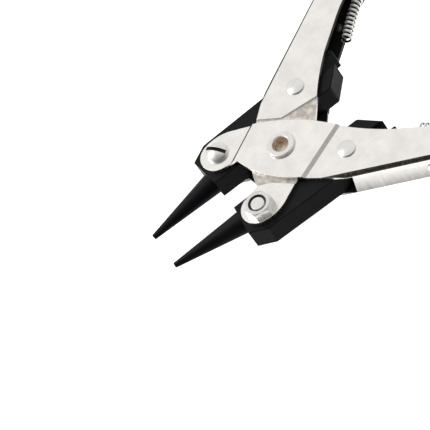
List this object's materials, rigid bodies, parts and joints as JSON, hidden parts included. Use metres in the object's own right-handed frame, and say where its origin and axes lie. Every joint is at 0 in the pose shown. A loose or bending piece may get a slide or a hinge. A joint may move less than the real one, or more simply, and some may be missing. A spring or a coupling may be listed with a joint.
{
  "type": "parallel-action round nose pliers",
  "caption": "Jeweller's parallel-action pliers with round tapered jaws, sheet steel channel handles and a bowed coil return spring.",
  "frame": {"origin": "on the main pivot's axis, in the plane of the handles' front faces, halfway down the pivot's socket", "axes": "+X towards the handle ends, with the jaw tips at -X; +Y towards the upper jaw's side; +Z out of the front face, along the pivot"},
  "size_m": [0.1327, 0.1064, 0.0173],
  "materials": {
    "nickel_plate": "nickel-plated pressed steel, softly polished, with fine scuffs",
    "black_oxide": "black oxide on forged steel, satin",
    "bright_steel": "bright plated steel, turned",
    "spring_wire": "bright drawn spring wire"
  },
  "bodies": {
    "handle_lower": {"handle_lower": "nickel_plate", "center_rivet_front": "bright_steel", "center_rivet_back": "bright_steel", "jaw_screw_upper": "bright_steel", "jaw_nut_upper": "bright_steel", "tail_pin_lower": "bright_steel", "spring_peg_lower": "bright_steel", "return_spring": "spring_wire"},
    "handle_upper": {"handle_upper": "nickel_plate", "jaw_screw_lower": "bright_steel", "jaw_nut_lower": "bright_steel", "tail_pin_upper": "bright_steel", "spring_peg_upper": "bright_steel"},
    "jaw_upper": {"jaw_upper": "black_oxide"},
    "jaw_lower": {"jaw_lower": "black_oxide"}
  },
  "joints": [
    {"name": "handle_pivot", "type": "hinge", "parent": "handle_lower", "child": "handle_upper", "pos_m": [0, 0, -0.00545], "axis": [0, 0, -1], "range_deg": [0, 36.8], "stiffness_Nm_per_rad": 0.4, "springref_deg": -34.38, "deforming": ["return_spring"]},
    {"name": "jaw_upper_pivot", "type": "hinge", "parent": "handle_lower", "child": "jaw_upper", "pos_m": [-0.01647, 0.01367, -0.00545], "axis": [0, 0, -1], "range_deg": [0, 18.4]},
    {"name": "jaw_lower_pivot", "type": "hinge", "parent": "handle_upper", "child": "jaw_lower", "pos_m": [-0.01647, -0.01367, -0.00545], "axis": [0, 0, 1], "range_deg": [0, 18.4]}
  ],
  "couplings": [
    {"joint": "jaw_upper_pivot", "follows": "handle_pivot", "ratio": 0.5},
    {"joint": "jaw_lower_pivot", "follows": "handle_pivot", "ratio": 0.5}
  ]
}
